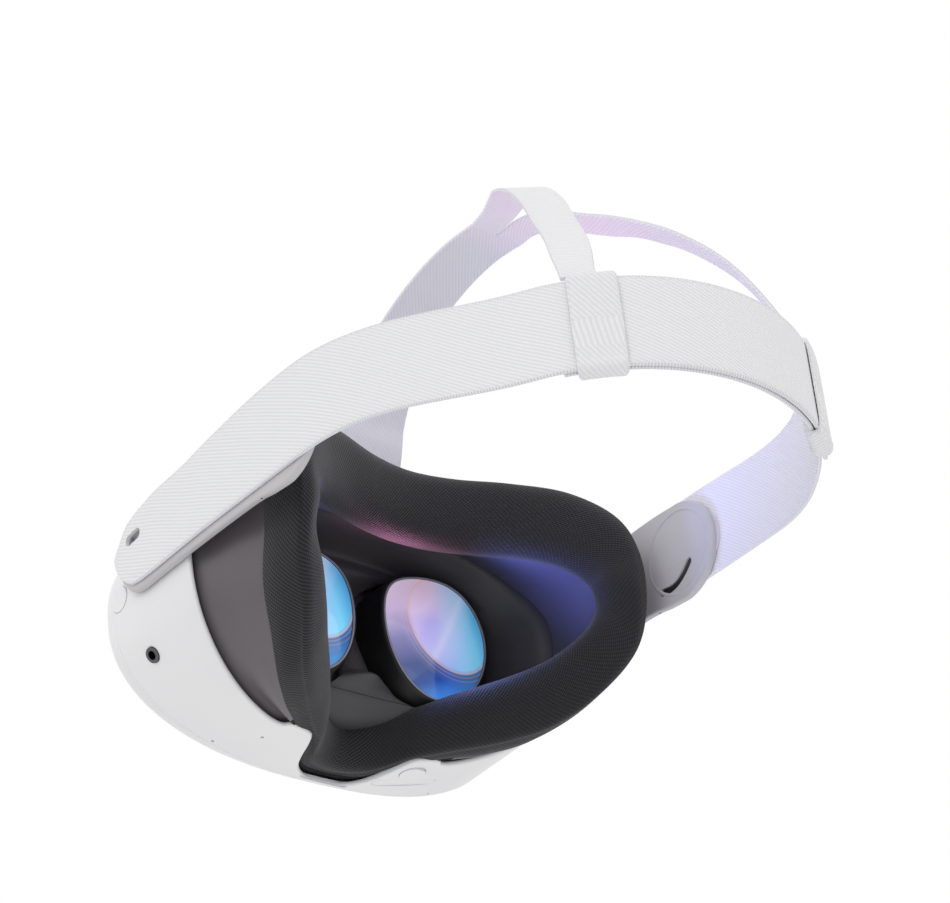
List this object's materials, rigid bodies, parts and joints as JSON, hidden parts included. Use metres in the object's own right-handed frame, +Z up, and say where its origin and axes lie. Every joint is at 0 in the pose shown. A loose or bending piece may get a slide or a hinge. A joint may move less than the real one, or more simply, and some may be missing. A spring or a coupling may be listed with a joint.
{
  "type": "standalone vr headset",
  "caption": "Standalone VR headset: rounded white visor with two sliding lenses, dark knitted face cushion, tilting side arms, wrap-round ribbed strap and forked over-head strap with sliders.",
  "frame": {"origin": "midway between the rear faces of the two lenses, where the wearer's eye line crosses the symmetry plane", "axes": "+X to the wearer's right, +Y forward out of the front cover, +Z up"},
  "size_m": [0.1844, 0.2703, 0.1661],
  "materials": {
    "shell_white": "satin",
    "window_black": "gloss",
    "camera_black": "matt",
    "chassis_metal": "satin cast",
    "panel_grey": "satin",
    "board_green": "solder mask",
    "copper": "satin",
    "steel": "brushed",
    "lens_glass": "coated",
    "display_glass": "gloss",
    "foam_fabric": "fine knit",
    "strap_fabric": "ribbed weave",
    "tongue_lilac": "satin"
  },
  "bodies": {
    "visor": {"outer_shell": "shell_white", "front_cover": "shell_white", "camera_window_left": "window_black", "camera_window_right": "window_black", "depth_window": "window_black", "colour_camera_left": "camera_black", "colour_camera_right": "camera_black", "tracking_camera_left": "camera_black", "tracking_camera_right": "camera_black", "depth_projector": "camera_black", "chassis": "chassis_metal", "eye_panel": "panel_grey", "main_board": "board_green", "heat_spreader": "copper", "fan_housing": "camera_black", "battery_pack": "camera_black", "spacing_rods": "steel", "audio_jack": "steel", "microphones": "camera_black", "proximity_sensor": "camera_black", "pivot_pins": "steel", "top_strap_anchor": "shell_white", "chassis_screws": "steel", "board_screws": "steel"},
    "left_optic": {"left_barrel": "camera_black", "left_lens": "lens_glass", "left_display": "display_glass", "left_rack": "camera_black"},
    "right_optic": {"right_barrel": "camera_black", "right_lens": "lens_glass", "right_display": "display_glass", "right_rack": "camera_black"},
    "ipd_dial": {"spacing_dial": "shell_white"},
    "fan": {"fan_rotor": "camera_black"},
    "power_key": {"power_button": "shell_white"},
    "volume_key": {"volume_rocker": "shell_white"},
    "face_interface": {"interface_frame": "panel_grey", "interface_liner": "panel_grey", "foam_cushion": "foam_fabric"},
    "latch_left": {"depth_latch_left": "camera_black"},
    "latch_right": {"depth_latch_right": "camera_black"},
    "headband": {"side_arm_left": "shell_white", "side_arm_right": "shell_white", "speaker_left": "camera_black", "speaker_right": "camera_black", "speaker_mesh_left": "steel", "speaker_mesh_right": "steel", "usb_port": "steel", "side_strap_left": "strap_fabric", "side_strap_right": "strap_fabric", "strap_tongue_left": "tongue_lilac", "strap_tongue_right": "tongue_lilac", "top_strap": "strap_fabric"},
    "rear_slider_left": {"slider_left": "strap_fabric", "branch_left": "strap_fabric"},
    "rear_slider_right": {"slider_right": "strap_fabric", "branch_right": "strap_fabric"}
  },
  "joints": [
    {"name": "headband_tilt", "type": "hinge", "parent": "visor", "child": "headband", "pos_m": [0, 0.002, 0.014], "axis": [1, 0, 0], "range_deg": [-12, 6], "deforming": ["top_strap"]},
    {"name": "slider_left_slide", "type": "hinge", "parent": "headband", "child": "rear_slider_left", "pos_m": [0, -0.138, 0], "axis": [0, 0, 1], "range_deg": [-6, 6], "deforming": ["branch_left"]},
    {"name": "slider_right_slide", "type": "hinge", "parent": "headband", "child": "rear_slider_right", "pos_m": [0, -0.138, 0], "axis": [0, 0, 1], "range_deg": [-6, 6], "deforming": ["branch_right"]},
    {"name": "right_optic_slide", "type": "slide", "parent": "visor", "child": "right_optic", "axis": [1, 0, 0], "range_m": [-0.0024, 0.004]},
    {"name": "left_optic_slide", "type": "slide", "parent": "visor", "child": "left_optic", "axis": [-1, 0, 0], "range_m": [-0.0024, 0.004]},
    {"name": "ipd_dial_turn", "type": "hinge", "parent": "visor", "child": "ipd_dial", "pos_m": [0.028, 0.0188, -0.045], "axis": [0, 0, 1], "range_deg": [-46.5, 77]},
    {"name": "fan_spin", "type": "hinge", "parent": "visor", "child": "fan", "pos_m": [0, 0.026, 0.008], "axis": [0, 1, 0], "continuous": true},
    {"name": "power_press", "type": "slide", "parent": "visor", "child": "power_key", "axis": [1, 0, 0], "range_m": [0, 0.0006], "stiffness_N_per_m": 900},
    {"name": "volume_rock", "type": "hinge", "parent": "visor", "child": "volume_key", "pos_m": [0.03, 0.027, -0.0462], "axis": [0.2079, 0.9781, 0], "range_deg": [-2.5, 2.5], "stiffness_Nm_per_rad": 0.6},
    {"name": "interface_depth", "type": "slide", "parent": "visor", "child": "face_interface", "axis": [0, -1, 0], "range_m": [0, 0.008]},
    {"name": "latch_left_press", "type": "slide", "parent": "face_interface", "child": "latch_left", "axis": [-1, 0, 0], "range_m": [0, 0.0015], "stiffness_N_per_m": 900},
    {"name": "latch_right_press", "type": "slide", "parent": "face_interface", "child": "latch_right", "axis": [1, 0, 0], "range_m": [0, 0.0015], "stiffness_N_per_m": 900}
  ],
  "couplings": [
    {"joint": "left_optic_slide", "follows": "right_optic_slide", "ratio": 1},
    {"joint": "ipd_dial_turn", "follows": "right_optic_slide", "rad_per_m": 333.33}
  ]
}
